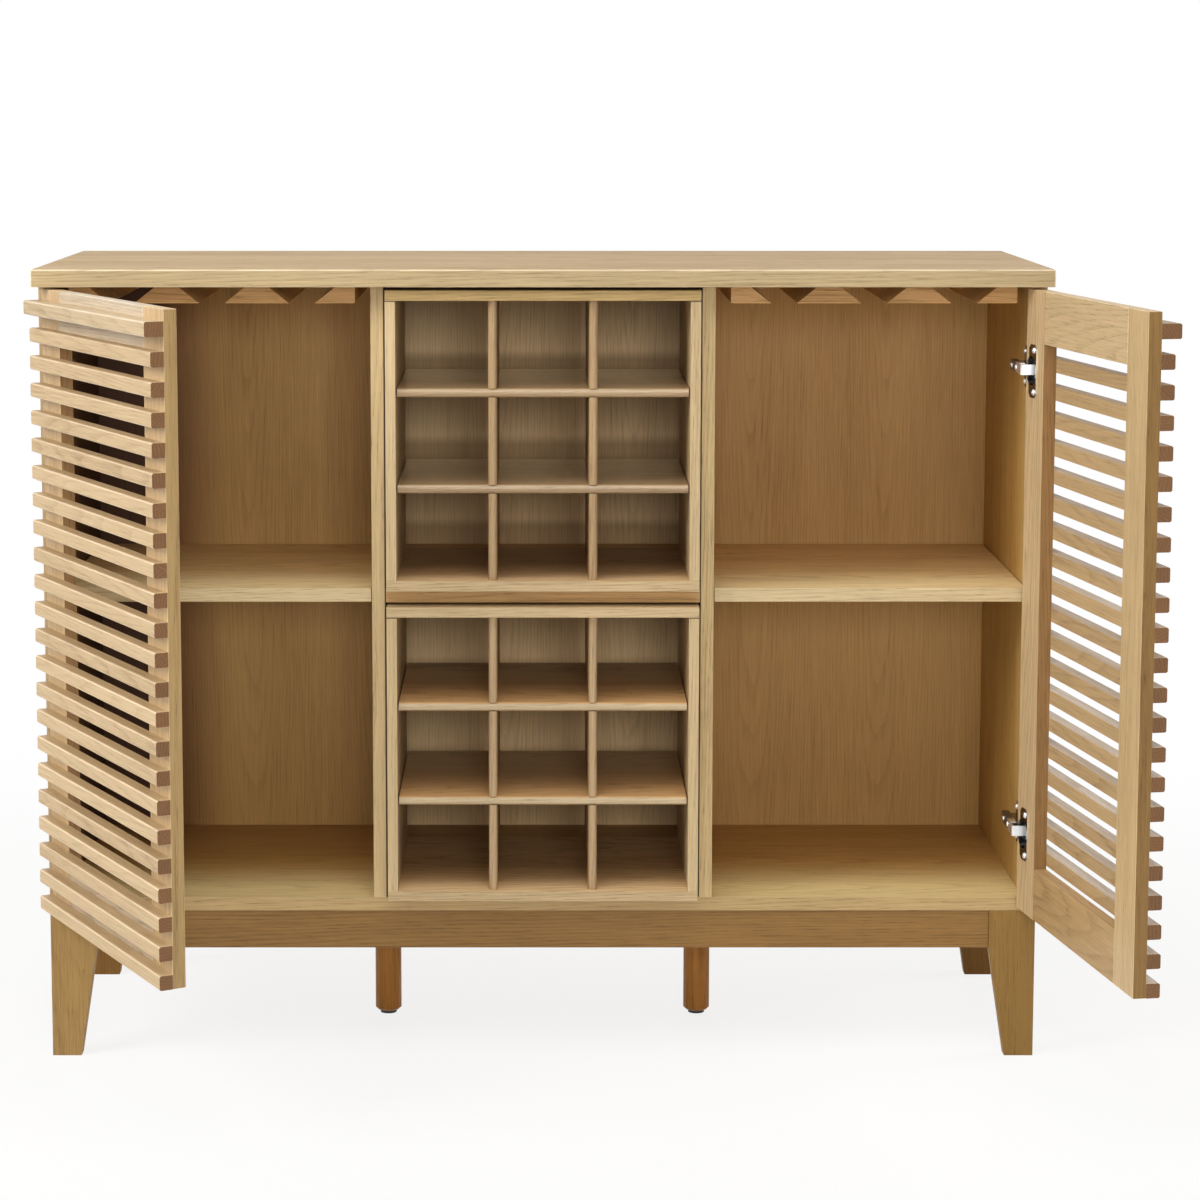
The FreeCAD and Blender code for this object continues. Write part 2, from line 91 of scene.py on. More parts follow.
# Colours of the oak
OAK = (0.57, 0.415, 0.22)
OAK_TOP = (0.51, 0.388, 0.224)
# The back panel's oak is darker and warmer, as painted shade inside the cabinet
OAK_BACK_IN_SHADE = (0.525, 0.302, 0.086)
OAK_DIVIDER = (0.53, 0.386, 0.19)
OAK_RIGHT_DIVIDER = (0.585, 0.426, 0.202)
# Painted light on the back panel behind the racks
OAK_LIT_BEHIND_RACKS = (0.95, 0.65, 0.32)
OAK_BASE = (0.25, 0.127, 0.027)
# Painted light and shade: the front left leg is lighter, as lit from the left, and the rear legs
# darker, as in shade
OAK_LIT_LEFT_LEG = (0.366, 0.226, 0.083)
OAK_RIGHT_LEG = (0.275, 0.156, 0.045)
OAK_SHADED_REAR_LEG = (0.246, 0.124, 0.034)
OAK_CENTER_LEG = (0.36, 0.142, 0.011)
OAK_CENTER_SHELF = (0.564, 0.333, 0.122)
OAK_DOOR = (0.58, 0.41, 0.22)
OAK_LEFT_RAIL = (0.565, 0.46, 0.325)
OAK_RIGHT_STILE = (0.535, 0.375, 0.19)
OAK_RIGHT_TOP_RAIL = (0.56, 0.405, 0.22)
OAK_RIGHT_BOTTOM_RAIL = (0.425, 0.27, 0.118)
OAK_SLAT = (0.525, 0.375, 0.204)
OAK_PULL_SLAT = (0.51, 0.38, 0.225)
OAK_RACK = (0.54, 0.395, 0.21)
OAK_RACK_GRID = (0.39, 0.257, 0.128)
OAK_RAIL = (0.49, 0.265, 0.087)
END_GRAIN = (0.185, 0.085, 0.030)

# Tones, which darken or lighten a part of a board; most of them are painted light and shade
PLAIN = (1, 1, 1)
# Painted shade on the top panel's top face, and a little on its front edge
TOP_FACE_SHADE_TONE = (0.92, 0.84, 0.75)
TOP_EDGE_SHADE_TONE = (0.93, 0.925, 0.88)
# Painted shade on the inner faces of the side panels, and painted light on their front parts
INSIDE_SHADE_TONE = (0.745, 0.58, 0.28)
SHADED_INSIDE_TONE = (0.25, 0.17, 0.09)
SIDE_FRONT_LIGHT_TONE = (1.15, 1.30, 1.70)
# Painted light on the shelves' top faces, strongest near the front, and on their front edges;
# painted shade on the bottom panel's top face and front edge, with painted light near the front of
# its top
SHELF_TOP_LIGHT_TONE = (1.18, 1.04, 0.82)
SHELF_FRONT_LIGHT_TONE = (1.22, 1.46, 1.80)
SHELF_EDGE_LIGHT_TONE = (1.03, 1.09, 1.13)
FLOOR_TOP_SHADE_TONE = (0.72, 0.525, 0.267)
FLOOR_FRONT_LIGHT_TONE = (1.75, 2.54, 4.4)
FLOOR_EDGE_SHADE_TONE = (0.79, 0.735, 0.59)
# Painted shadow of the left door on the back panel
DOOR_SHADOW_TONE = (0.42, 0.28, 0.17)
DEEP_SHADE_TONE = (0.38, 0.34, 0.34)
# Painted shade in bands on the back panel above the upper rack's shelves
BAND_SHADE_TONE = (0.54, 0.48, 0.39)
# Lifts the back panel's rear face out of the painted inside shade, back towards plain oak
BACK_REAR_TONE = (0.98, 1.20, 2.10)
# Painted light on the stemware rails, growing towards the rear
RAIL_REAR_LIGHT_TONE = (1.7, 1.8, 1.9)
# Painted shade on the stiles' faces that look to the free side
HINGE_STILE_EDGE_SHADE_TONE = (0.50, 0.38, 0.24)
LEFT_STILE_EDGE_SHADE_TONE = (0.66, 0.60, 0.44)
RIGHT_STILE_EDGE_SHADE_TONE = (0.47, 0.36, 0.19)
# Painted shade on the backs and tops of the right door's slats
RIGHT_SLAT_BACK_SHADE_TONE = (0.92, 0.87, 0.80)
RIGHT_SLAT_TOP_SHADE_TONE = (0.68, 0.66, 0.66)
# Painted light on the front of the racks' bottom boards
RACK_FLOOR_FRONT_LIGHT_TONE = (1.45, 1.62, 1.85)
# A thin painted shadow line on the rack sides, under their top board
JOINT_SHADOW_TONE = (0.22, 0.17, 0.12)
# Near-black painted shade in gaps: under the centre shelf, on the dividers' faces towards the
# racks and in a thin line on their fronts
GAP_SHADE_TONE = (0.06, 0.045, 0.035)
# Painted highlight on eased edges
EDGE_HIGHLIGHT_TONE = (1.60, 1.80, 2.30)

# What differs between the two doors and between the two racks; free is the side that the free edge
# of a closed door looks to
# Each door's edge tone and slat tones are painted shade
DOORS = {
    "left": {"angle": LEFT_DOOR_ANGLE, "free": RIGHT, "stile": OAK_DOOR,
             "edge": LEFT_STILE_EDGE_SHADE_TONE, "top_rail": OAK_LEFT_RAIL,
             "bottom_rail": OAK_LEFT_RAIL, "slat_shades": ()},
    "right": {"angle": RIGHT_DOOR_ANGLE, "free": LEFT, "stile": OAK_RIGHT_STILE,
              "edge": RIGHT_STILE_EDGE_SHADE_TONE, "top_rail": OAK_RIGHT_TOP_RAIL,
              "bottom_rail": OAK_RIGHT_BOTTOM_RAIL,
              "slat_shades": ((REAR, RIGHT_SLAT_BACK_SHADE_TONE), (UP, RIGHT_SLAT_TOP_SHADE_TONE))},
}
# Each rack's tones are painted light and shade: top, floor, shelf, nose and divider tone those
# faces, and shelf_rear is a painted reflection of the back panel on the shelves' rear parts
RACKS = {
    "upper_rack_": {"top": (1.0, 0.94, 0.68), "floor": (0.88, 0.72, 0.62),
                    "shelf": (1.20, 1.22, 1.24), "shelf_rear": (1.98, 2.45, 3.0),
                    "nose": (0.90, 0.88, 0.80), "divider": PLAIN, "lacquer": 0.9},
    "lower_rack_": {"top": PLAIN, "floor": (1.12, 0.95, 0.82),
                    "shelf": (1.64, 1.46, 1.24), "shelf_rear": (1.18, 1.38, 1.75),
                    "nose": (1.34, 1.55, 1.85), "divider": (1.13, 1.17, 1.27), "lacquer": 0.0},
}

# Where a tone of painted light and shade fades in, from none of it to all, as distances off the
# low side of a board's box
SHELF_FRONT_FADE = (0.16, 0.035)
FLOOR_FRONT_FADE = (0.19, 0.03)
SIDE_FRONT_FADE = (0.11, 0.03)
SIDE_DEEP_FADE = (0.12, 0.20)
# Thin lines of painted shade on the dividers' fronts next to the racks
LEFT_GAP_SHADE_FADE = (14.4 * MM, 14.9 * MM)
RIGHT_GAP_SHADE_FADE = (1.4 * MM, 0.9 * MM)
# Painted shadow of the left door, and deeper painted shade, on the back panel's left part
BACK_DOOR_SHADOW_FADE = (0.17, 0.09)
BACK_DEEP_FADE = (0.105, 0.075)
RAIL_REAR_FADE = (0.06, 0.30)
RACK_FLOOR_FADE = (0.07, 0.012)
RACK_SHELF_FADE = (0.05, 0.19)
# The same for the painted shadow line at the joint of a rack's sides, as distances below its top
# board
JOINT_SHADOW_FADE = (1.3 * MM, 0.9 * MM)
# The strip of the back panel behind the racks, painted lighter as if lit, and the bands of painted
# shade that darken it above the upper rack's shelves: each band's lower end, the end of its full
# tone, and its upper end
STRIP_HALF_WIDTH = 0.184
STRIP_BLEND = 0.012
SHADE_BANDS = ((0.545, 0.579, 0.595), (0.660, 0.685, 0.702), (0.775, 0.793, 0.810))
BAND_BLEND = 4 * MM

# Figure of the oak: the leaf is the width of veneer that is mirrored in its neighbour, and the
# log's length and depth are how far apart boards may be cut from it
LEAF = 0.16
LOG_LENGTH = 9.0
LOG_DEPTH = 0.03
BOARD_STEP = 0.173
SEED_SPREAD = 91.7
RING_WIDTH = 3.4 * MM
WAVE_UNIT = 0.314
HEART = {"Scale": (0.11, 1.0, 1.0), "Location": (0, 0, 0.045), "Rotation": (0, 0.36, 0.05)}
RINGS = {"Scale": WAVE_UNIT / RING_WIDTH, "Distortion": 9.0, "Detail": 2.5,
         "Detail Scale": 0.32, "Detail Roughness": 0.55}
EARLY_WOOD = 0.55
# Its noise layers: repeats per metre along and across the grain, detail, roughness and distortion
LAYERS = {
    "streaks": (7.0, 400.0, 5.0, 0.68, 0.0),
    "fibres": (22.0, 900.0, 2.0, 0.60, 0.0),
    "drift": (1.3, 11.0, 2.0, 0.50, 0.0),
    "patches": (5.0, 45.0, 3.0, 0.55, 0.4),
    "pores": (46.0, 850.0, 1.5, 0.60, 0.3),
}
PORE_RANGE = (0.52, 0.70)
PORES_IN_EARLY_WOOD = 0.55
# Its ramps from dark to light: place, factor of the board's colour, and warmth
FIGURE_STOPS = ((0.0, 0.60, 0.05), (0.3, 0.85, 0.025), (0.5, 1.0, 0.0), (0.75, 1.12, -0.01),
                (1.0, 1.24, -0.02))
END_STOPS = ((0.0, 0.70, 0.0), (0.5, 1.0, 0.0), (1.0, 1.35, 0.0))
OAK_ROUGHNESS = (0.62, 0.40)
LACQUER_ROUGHNESS = 0.10
# Cosines from which to which a face counts as looking to a side, as clear of the painted edge
# highlight and as end grain
FACING_COSINES = (0.6, 0.9)
HIGHLIGHT_COSINES = (0.80, 0.93)
END_COSINES = (0.75, 0.95)

# Plating: darkest and brightest grey, and least and greatest roughness
CHROME = (0.93, 0.99, 0.30, 0.45)
NICKEL = (0.05, 0.34, 0.14, 0.26)
PIN_STEEL = (0.50, 0.70, 0.25, 0.40)
PIN_STRETCH = (1.0, 1.0, 0.1)
MARKS_PER_METRE = 260.0
# Painted highlight on the lip of each hinge cup
LIP_HIGHLIGHT_GREY = (0.95, 0.95, 0.95, 1)
LIP_BLEND = 0.1 * MM
# The part of the hinge arm's length where it grows dark, and how dark
ARM_SHADE = (0.40, 0.55, 0.16)
PLASTIC_DARK = (0.012, 0.012, 0.012)
PLASTIC_PALE = (0.035, 0.034, 0.033)

# Stage: the floor's paper is white to the camera, but less so round the cabinet
FLOOR_REACH = 30.0
FLOOR_GREY = (0.88, 0.88, 0.87, 1)
FLOOR_BLEND = (0.8, 2.2)
FLOOR_WHITE_NEAR = 0.82
AMBIENT_COLOUR = (1.0, 0.985, 0.96, 1)
AMBIENT_STRENGTH = 0.17
# Lamps: name, place, aim, width, height and power
LAMPS = (
    ("front", (0.25, -4.7, 1.45), (0, 0, 0.55), 1.2, 0.9, 47),
    ("left", (-2.8, -1.5, 2.3), (-0.1, -0.1, 0.5), 1.7, 1.7, 82),
    ("right", (3.3, 0.8, 1.4), (0.1, 0.0, 0.5), 1.6, 1.6, 48),
    ("key", (0.0, -2.3, 3.3), (0, 0, 0.5), 2.6, 1.6, 35),
    ("top", (0.0, -0.9, 3.3), (0, 0, 0.5), 2.6, 1.2, 25),
    ("back", (0.3, 3.6, 0.5), (0.3, 0, 0.5), 2.6, 0.8, 78),
)
CAMERA_PLACE = (-0.0403, -3.625, 1.1363)
LOOK_DOWN = math.radians(7.072)
LENS = 94.619
SENSOR = 36.0
SHIFT_X = 0.0537
SHIFT_Y = -0.10


class Shader:
    """A small helper that adds nodes to one material or world and links them."""

    def __init__(self, owner):
        owner.use_nodes = True
        self.owner = owner
        self.tree = owner.node_tree

    def add(self, kind, inputs=None, **settings):
        node = self.tree.nodes.new("ShaderNode" + kind)
        for key, value in settings.items():
            setattr(node, key, value)
        self.fill(node, inputs or {})
        return node

    def fill(self, node, inputs):
        for key, value in inputs.items():
            socket = node.inputs[key]
            if isinstance(value, bpy.types.NodeSocket):
                self.tree.links.new(value, socket)
            else:
                socket.default_value = value

    def finish(self, inputs):
        """Fills the sockets of the material's surface."""
        self.fill(self.tree.nodes["Principled BSDF"], inputs)

    def math(self, operation, *values, clamp=False):
        node = self.add("Math", dict(enumerate(values)), operation=operation, use_clamp=clamp)
        return node.outputs[0]

    def vector(self, operation, *values):
        node = self.add("VectorMath", dict(enumerate(values)), operation=operation)
        return node.outputs["Value" if operation in ("DOT_PRODUCT", "LENGTH") else "Vector"]

    def split(self, vector):
        return self.add("SeparateXYZ", {"Vector": vector}).outputs

    def joined(self, x, y, z):
        return self.add("CombineXYZ", {"X": x, "Y": y, "Z": z}).outputs["Vector"]

    def mapped(self, vector, settings):
        return self.add("Mapping", {"Vector": vector, **settings}).outputs["Vector"]

    def noise(self, vector, scale=1.0, detail=2.0, roughness=0.5, distortion=0.0):
        node = self.add("TexNoise", {"Vector": vector, "Scale": scale, "Detail": detail,
                                     "Roughness": roughness, "Distortion": distortion})
        return node.outputs[0]

    def ranged(self, value, low, high, to_low=0.0, to_high=1.0, smooth=False):
        node = self.add("MapRange", {"Value": value, "From Min": low, "From Max": high,
                                     "To Min": to_low, "To Max": to_high})
        node.interpolation_type = "SMOOTHSTEP" if smooth else "LINEAR"
        return node.outputs[0]

    def ramp(self, value, stops):
        node = self.add("ValToRGB", {"Fac": value})
        elements = node.color_ramp.elements
        while len(elements) < len(stops):
            elements.new(0.5)
        for element, (place, colour) in zip(elements, stops):
            element.position = place
            element.color = (*colour, 1.0)
        return node.outputs["Color"]

    def mixed(self, factor, first, second):
        node = self.add("Mix", data_type="RGBA")
        self.fill(node, {"Factor": factor, 6: first, 7: second})
        return node.outputs[2]

    def toned(self, share, surface, tone):
        """The colour of a surface times a tone, as far as share says."""
        return self.mixed(share, surface, self.vector("MULTIPLY", surface, tone))

    def facing(self, normal, side):
        """One on the faces that look to one side, and nought on those that look away from it."""
        return self.ranged(self.vector("DOT_PRODUCT", normal, side), *FACING_COSINES)

    def bump(self, height, strength, distance):
        node = self.add("Bump", {"Height": height, "Strength": strength, "Distance": distance})
        return node.outputs["Normal"]

    def seen(self):
        """One for rays that come from the camera, a gloss or glass."""
        path = self.add("LightPath").outputs
        total = self.math("ADD", path["Is Camera Ray"], path["Is Glossy Ray"])
        return self.math("ADD", total, path["Is Transmission Ray"], clamp=True)


def tinted(colour, stops):
    """Stops of a ramp through lighter and darker tones of a colour; warm moves one towards red."""
    red, green, blue = colour
    return [(place, (min(red * factor * (1 + warm), 1.0), min(green * factor, 1.0),
                     min(blue * factor * (1 - warm), 1.0)))
            for place, factor, warm in stops]


def oak(name, colour, run, turn=0.0, contrast=1.0, flame=1.0, pore=1.0, wander=LEAF, boards=None,
        gloss=0.42, lacquer=0.0, rub=0.0, end_grain=False, strip=None, sides=(), fades=()):
    """Oak with growth rings, fibre streaks and pores, and painted light and shade, for the CAD
    node of that name.

    run: the axis that the grain follows, and the axis that the broad face looks along
    turn: the angle that the boards of a door stand at
    contrast, flame, pore: strength of the whole figure, of the rings and of the pores
    wander: how far apart across the log boards may be cut
    boards: the axis and the pitch of the boards, where the node has several
    rub: how strong the painted highlight on the eased edges is
    strip: colour of a painted lit strip up the middle of the front face, and bands of painted
    shade on it
    sides: a direction, and the tone of the faces that look there, mostly painted light and shade
    fades: an axis, the two distances of the fade, its tone of painted light and shade, and the
    direction of its faces
    """
    s = Shader(bpy.data.materials.new(name))
    low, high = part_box(name)
    middle = (low + high) / 2
    coords = s.add("TexCoord").outputs
    place = s.vector("SUBTRACT", coords["Object"], tuple(middle))
    normal = coords["Normal"]
    if turn:
        spin = {"Rotation": (0, 0, -turn)}
        place, normal = s.mapped(place, spin), s.mapped(normal, spin)
    parts = s.split(place)
    axis, face = run
    width = "XYZ".replace(axis, "").replace(face, "")
    along, across, depth = (parts[letter] for letter in (axis, width, face))

    # Each board is cut from another place in the log
    piece = s.add("ObjectInfo").outputs["Random"]
    if boards:
        letter, pitch = boards
        count = s.math("FLOOR", s.math("DIVIDE", parts[letter], pitch))
        piece = s.math("MULTIPLY_ADD", count, BOARD_STEP, piece)
    seed = s.math("MULTIPLY", piece, SEED_SPREAD)
    chance = s.add("TexWhiteNoise", {"W": seed}, noise_dimensions="1D").outputs
    shift = s.split(s.vector("SUBTRACT", chance["Color"], (0.5, 0.5, 0.5)))
    along = s.math("MULTIPLY_ADD", shift["X"], LOG_LENGTH, along)
    across = s.math("MULTIPLY_ADD", shift["Y"], wander, across)
    depth = s.math("MULTIPLY_ADD", shift["Z"], LOG_DEPTH, depth)
    grain = s.joined(along, across, depth)

    # Growth rings round a tilted heart, mirrored from leaf to leaf
    folded = s.math("PINGPONG", s.math("ADD", across, LEAF / 2), LEAF)
    folded = s.math("SUBTRACT", folded, LEAF / 2)
    heart = s.mapped(s.joined(along, folded, depth), HEART)
    rings = s.add("TexWave", {"Vector": heart, **RINGS}, wave_type="RINGS", rings_direction="X",
                  wave_profile="SAW").outputs[1]
    early = s.ranged(rings, 0.0, EARLY_WOOD, 1.0, 0.0, smooth=True)

    layers = {}
    for key, (lengthwise, crosswise, detail, roughness, distortion) in LAYERS.items():
        stretched = s.vector("MULTIPLY", grain, (lengthwise, crosswise, crosswise))
        layers[key] = s.noise(stretched, 1.0, detail, roughness, distortion)
    streaks, fibres = layers["streaks"], layers["fibres"]
    pores = s.ranged(layers["pores"], *PORE_RANGE, smooth=True)
    pores = s.math("MULTIPLY", pores, s.math("MULTIPLY_ADD", early, PORES_IN_EARLY_WOOD,
                                             1 - PORES_IN_EARLY_WOOD))

    # Each layer adds its share of how far it is from its mean
    figure = 0.5
    for layer, share, mean in ((streaks, 1.05, 0.5), (fibres, 0.90, 0.5),
                               (layers["drift"], 0.65, 0.5), (layers["patches"], 0.40, 0.5),
                               (early, -0.20 * flame, 0.35), (pores, -0.40 * pore, 0.11),
                               (chance["Value"], 0.20, 0.5)):
        offset = s.math("SUBTRACT", layer, mean)
        figure = s.math("MULTIPLY_ADD", offset, share * contrast, figure)
    surface = s.ramp(figure, tinted(colour, FIGURE_STOPS))

    # A painted lit strip up the back panel behind the racks, with bands of painted shade above the
    # shelves
    if strip:
        strip_colour, bands = strip
        inside = s.ranged(s.math("ABSOLUTE", parts["X"]), STRIP_HALF_WIDTH,
                          STRIP_HALF_WIDTH + STRIP_BLEND, 1.0, 0.0)
        inside = s.math("MULTIPLY", inside, s.facing(normal, FRONT))
        pale = tuple(new / old for new, old in zip(strip_colour, colour))
        surface = s.toned(inside, surface, pale)
        level = s.math("ADD", parts["Z"], middle.z)
        for bottom, full, top in bands:
            rise = s.ranged(level, bottom, bottom + BAND_BLEND)
            fall = s.ranged(level, full, top, 1.0, 0.0, smooth=True)
            band = s.math("MULTIPLY", s.math("MULTIPLY", rise, fall), inside)
            surface = s.toned(band, surface, BAND_SHADE_TONE)
    bearing = s.split(s.vector("ABSOLUTE", normal))
    if rub:
        # Eased edges look straight along no axis, and get a painted highlight
        widest = s.math("MAXIMUM", s.math("MAXIMUM", bearing["X"], bearing["Y"]), bearing["Z"])
        surface = s.toned(s.ranged(widest, *HIGHLIGHT_COSINES, rub, 0.0), surface, EDGE_HIGHLIGHT_TONE)
    # Painted light and shade on the faces that look to a side
    for side, tone in sides:
        surface = s.toned(s.facing(normal, side), surface, tone)
    # Painted light and shade that fades in along an axis
    for letter, start, end, tone, side in fades:
        reach = s.math("ADD", parts[letter], (middle - low)["XYZ".index(letter)])
        share = s.ranged(reach, start, end, smooth=True)
        if side:
            share = s.math("MULTIPLY", share, s.facing(normal, side))
        surface = s.toned(share, surface, tone)
    if end_grain:
        cut = s.math("MULTIPLY_ADD", s.math("SUBTRACT", early, 0.4), -0.30, figure)
        sawn = s.ramp(cut, tinted(END_GRAIN, END_STOPS))
        surface = s.mixed(s.ranged(bearing[axis], *END_COSINES), surface, sawn)

    height = s.math("MULTIPLY_ADD", pores, -0.8, s.math("MULTIPLY_ADD", fibres, 0.5, streaks))
    s.finish({"Base Color": surface, "Roughness": s.ranged(figure, 0.0, 1.0, *OAK_ROUGHNESS),
              "Specular IOR Level": gloss, "Coat Weight": lacquer,
              "Coat Roughness": LACQUER_ROUGHNESS,
              "Normal": s.bump(height, strength=0.22, distance=0.25 * MM)})
    return s.owner


def steel(name, plating, stretch=PLAIN, shade=None, lip=None):
    """Plated steel with faint rolling marks; shade paints shade that darkens it from one depth to
    another, and lip paints a highlight on the sides that face one way and stand above a level in
    another."""
    s = Shader(bpy.data.materials.new(name))
    low, high, rough_low, rough_high = plating
    coords = s.add("TexCoord").outputs
    place = coords["Object"]
    stretched = s.vector("MULTIPLY", place, tuple(MARKS_PER_METRE * k for k in stretch))
    marks = s.noise(stretched, detail=4.0, roughness=0.6)
    cloud = s.noise(place, scale=90.0, detail=2.0)
    surface = s.ramp(marks, ((0.25, (low,) * 3), (0.75, (high,) * 3)))
    if shade:
        start, end, dark = shade
        surface = s.toned(s.ranged(s.split(place)["Y"], start, end), surface, (dark,) * 3)
    if lip:
        way, outward, level = lip
        proud = s.ranged(s.vector("DOT_PRODUCT", place, outward), level - LIP_BLEND, level)
        share = s.math("MULTIPLY", s.facing(coords["Normal"], way), proud)
        surface = s.mixed(share, surface, LIP_HIGHLIGHT_GREY)
    s.finish({"Base Color": surface, "Metallic": 1.0,
              "Roughness": s.ranged(cloud, 0.3, 0.7, rough_low, rough_high),
              "Normal": s.bump(marks, strength=0.08, distance=0.1 * MM)})
    return s.owner


def moulded(name, dark, pale):
    """Black moulded plastic with a fine spark texture."""
    s = Shader(bpy.data.materials.new(name))
    coords = s.add("TexCoord").outputs["Object"]
    spark = s.noise(coords, scale=1400.0, detail=2.0)
    scuff = s.noise(coords, scale=70.0, detail=3.0, roughness=0.6)
    s.finish({"Base Color": s.ramp(scuff, ((0.3, dark), (0.75, pale))),
              "Roughness": s.ranged(scuff, 0.3, 0.7, 0.42, 0.62),
              "Normal": s.bump(spark, strength=0.25, distance=0.15 * MM)})
    return s.owner


def crisp_normals():
    """A modifier group that shades faces smooth up to a fold, and sharp beyond it."""
    group = bpy.data.node_groups.new("crisp_normals", "GeometryNodeTree")
    for way in ("INPUT", "OUTPUT"):
        group.interface.new_socket("Geometry", in_out=way, socket_type="NodeSocketGeometry")
    source = group.nodes.new("NodeGroupInput")
    target = group.nodes.new("NodeGroupOutput")
    angle = group.nodes.new("GeometryNodeInputMeshEdgeAngle")
    fold = group.nodes.new("FunctionNodeCompare")
    fold.operation = "GREATER_THAN"
    fold.inputs["B"].default_value = SHARP_FOLD
    normals = group.nodes.new("GeometryNodeSetMeshNormal")
    normals.mode = "SHARPNESS"
    normals.inputs["Remove Custom"].default_value = True
    normals.inputs["Face Sharpness"].default_value = False
    group.links.new(angle.outputs["Unsigned Angle"], fold.inputs["A"])
    group.links.new(fold.outputs[0], normals.inputs["Edge Sharpness"])
    group.links.new(source.outputs[0], normals.inputs["Mesh"])
    group.links.new(normals.outputs[0], target.inputs[0])
    return group


CRISP = crisp_normals()


def dressed(node, material, ease=0.0):
    """Gives a CAD node its material, and a small rounding of its edges."""
    thing = nodes[node]
    thing.data.materials.clear()
    thing.data.materials.append(material)
    for polygon in thing.data.polygons:
        polygon.material_index = 0
    weld = thing.modifiers.new("weld", "WELD")
    weld.merge_threshold = WELD_REACH
    thing.modifiers.new("normals", "NODES").node_group = CRISP
    if not ease:
        even = thing.modifiers.new("even", "WEIGHTED_NORMAL")
        even.keep_sharp = True
    else:
        flat = thing.modifiers.new("flat", "DECIMATE")
        flat.decimate_type = "DISSOLVE"
        flat.angle_limit = FLAT_FOLD
        bevel = thing.modifiers.new("ease", "BEVEL")
        bevel.width = ease
        bevel.segments = 2
        bevel.limit_method = "ANGLE"
        bevel.angle_limit = EASED_FOLD
        bevel.harden_normals = True


def board(node, colour, run, ease=EASE, **look):
    """Gives a wooden CAD node its oak."""
    dressed(node, oak(node, colour, run, **look), ease)


# Carcass and base
# Painted light and shade on the shelves and the bottom panel, lighter towards their front edges
for name in ("left_shelf", "right_shelf"):
    board(name, OAK, "XZ", sides=((UP, SHELF_TOP_LIGHT_TONE), (FRONT, SHELF_EDGE_LIGHT_TONE)),
          fades=(("Y", *SHELF_FRONT_FADE, SHELF_FRONT_LIGHT_TONE, UP),))
board("bottom_panel", OAK, "XZ", sides=((UP, FLOOR_TOP_SHADE_TONE), (FRONT, FLOOR_EDGE_SHADE_TONE)),
      fades=(("Y", *FLOOR_FRONT_FADE, FLOOR_FRONT_LIGHT_TONE, UP),))
# Painted shade on the centre shelf's underside
board("center_shelf", OAK_CENTER_SHELF, "XZ", sides=((DOWN, GAP_SHADE_TONE),))
# The top panel gets painted shade on its top face and front edge, and a painted highlight on its
# eased front edge
board("top_panel", OAK_TOP, "XZ", 0, gloss=0.1, rub=0.9,
      sides=((UP, TOP_FACE_SHADE_TONE), (FRONT, TOP_EDGE_SHADE_TONE)))
# The side panels' inner faces get painted shade, lighter towards the front; the left one darker
# still towards the rear
board("left_side_panel", OAK, "ZX", sides=((RIGHT, SHADED_INSIDE_TONE),),
      fades=(("Y", *SIDE_FRONT_FADE, SIDE_FRONT_LIGHT_TONE, RIGHT),
             ("Y", *SIDE_DEEP_FADE, DEEP_SHADE_TONE, RIGHT)))
board("right_side_panel", OAK, "ZX", sides=((LEFT, INSIDE_SHADE_TONE),),
      fades=(("Y", *SIDE_FRONT_FADE, SIDE_FRONT_LIGHT_TONE, LEFT),))
# The dividers get painted shade on their faces towards the racks and in a thin line on their
# fronts next to them
board("left_divider", OAK_DIVIDER, "ZX", contrast=1.2, sides=((RIGHT, GAP_SHADE_TONE),),
      fades=(("X", *LEFT_GAP_SHADE_FADE, GAP_SHADE_TONE, FRONT),))
board("right_divider", OAK_RIGHT_DIVIDER, "ZX", contrast=1.2, sides=((LEFT, GAP_SHADE_TONE),),
      fades=(("X", *RIGHT_GAP_SHADE_FADE, GAP_SHADE_TONE, FRONT),))
# The back panel's front face gets painted shade, with a painted door shadow and deeper shade at
# the left, and painted light on the strip behind the racks
board("back_panel", OAK_BACK_IN_SHADE, "ZY", 0, contrast=0.85, pore=0.4, strip=(OAK_LIT_BEHIND_RACKS, SHADE_BANDS),
      sides=((REAR, BACK_REAR_TONE),),
      fades=(("X", *BACK_DOOR_SHADOW_FADE, DOOR_SHADOW_TONE, FRONT),
             ("X", *BACK_DEEP_FADE, DEEP_SHADE_TONE, FRONT)))
for name in ("front_apron", "rear_apron"):
    board(name, OAK_BASE, "XY", contrast=1.2, flame=1.4)
for name in ("left_apron", "right_apron"):
    board(name, OAK_BASE, "YX", contrast=1.4)
# The legs' colours carry painted light and shade
for name, colour in (("front_left_leg", OAK_LIT_LEFT_LEG), ("front_right_leg", OAK_RIGHT_LEG),
                     ("rear_left_leg", OAK_SHADED_REAR_LEG), ("rear_right_leg", OAK_SHADED_REAR_LEG)):
    board(name, colour, "ZY", contrast=0.85, flame=0.5, gloss=0.12)
for name in ("left_center_leg", "right_center_leg"):
    board(name, OAK_CENTER_LEG, "ZY", 0, contrast=1.4)
# The stemware rails get painted light towards the rear, and a painted highlight on their eased
# edges
for name in ("left_stemware_rails", "right_stemware_rails"):
    board(name, OAK_RAIL, "XY", RAIL_EASE, contrast=1.4, boards=("X", RAIL_PITCH), rub=0.5,
          fades=(("Y", *RAIL_REAR_FADE, RAIL_REAR_LIGHT_TONE, None),))

